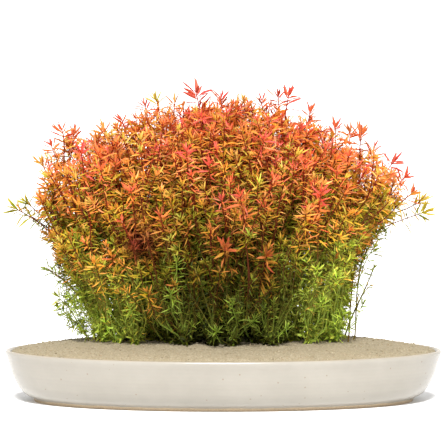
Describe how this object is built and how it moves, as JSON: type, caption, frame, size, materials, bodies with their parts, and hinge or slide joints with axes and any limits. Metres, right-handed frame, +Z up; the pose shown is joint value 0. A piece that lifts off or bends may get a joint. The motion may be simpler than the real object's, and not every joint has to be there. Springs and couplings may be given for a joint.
{
  "type": "potted rotala rotundifolia aquatic plant clump",
  "caption": "Dense dome of orange-red and green fine-leaved aquatic stems, rooted in a heaped sand bed in a plain low oval ceramic dish.",
  "frame": {"origin": "centre of the dish's foot, on the surface that it stands on", "axes": "+X along the dish's long side, -Y towards the viewer of the picture, +Z up"},
  "size_m": [0.394, 0.226, 0.2791],
  "materials": {
    "pot_glaze": "plain off-white satin glaze",
    "sand": "loose pale beige sand with darker grains",
    "foliage_red": "thin satin leaves, coral red at the tips and olive to green lower down",
    "foliage_green": "thin satin leaves, green with orange tips"
  },
  "bodies": {
    "root": {"pot": "pot_glaze", "sand_bed": "sand", "stem_back_01": "foliage_red", "stem_back_02": "foliage_red", "stem_back_03": "foliage_red", "stem_back_04": "foliage_red", "stem_back_05": "foliage_red", "stem_back_06": "foliage_red", "stem_back_07": "foliage_red", "stem_back_08": "foliage_red", "stem_back_09": "foliage_red", "stem_back_10": "foliage_red", "stem_back_11": "foliage_red", "stem_back_12": "foliage_red", "stem_back_13": "foliage_red", "stem_edge_01": "foliage_green", "stem_edge_02": "foliage_green", "stem_edge_03": "foliage_green", "stem_edge_04": "foliage_green", "stem_edge_05": "foliage_green", "stem_edge_06": "foliage_green", "stem_edge_07": "foliage_green", "stem_edge_08": "foliage_green", "stem_edge_09": "foliage_green", "stem_edge_10": "foliage_green", "stem_edge_11": "foliage_green", "stem_edge_12": "foliage_green", "stem_edge_13": "foliage_green", "stem_edge_14": "foliage_green", "stem_edge_15": "foliage_green", "stem_edge_16": "foliage_green", "stem_edge_17": "foliage_green", "stem_edge_18": "foliage_green", "stem_front_01": "foliage_red", "stem_front_02": "foliage_red", "stem_front_03": "foliage_red", "stem_front_04": "foliage_red", "stem_front_05": "foliage_red", "stem_front_06": "foliage_red", "stem_front_07": "foliage_red", "stem_front_08": "foliage_red", "stem_front_09": "foliage_red", "stem_front_10": "foliage_red", "stem_front_11": "foliage_red", "stem_front_12": "foliage_red", "stem_front_13": "foliage_red", "stem_middle_01": "foliage_red", "stem_middle_02": "foliage_red", "stem_middle_03": "foliage_red", "stem_middle_04": "foliage_red", "stem_middle_05": "foliage_red", "stem_middle_06": "foliage_red", "stem_middle_07": "foliage_red", "stem_middle_08": "foliage_red", "stem_middle_09": "foliage_red"}
  },
  "joints": []
}
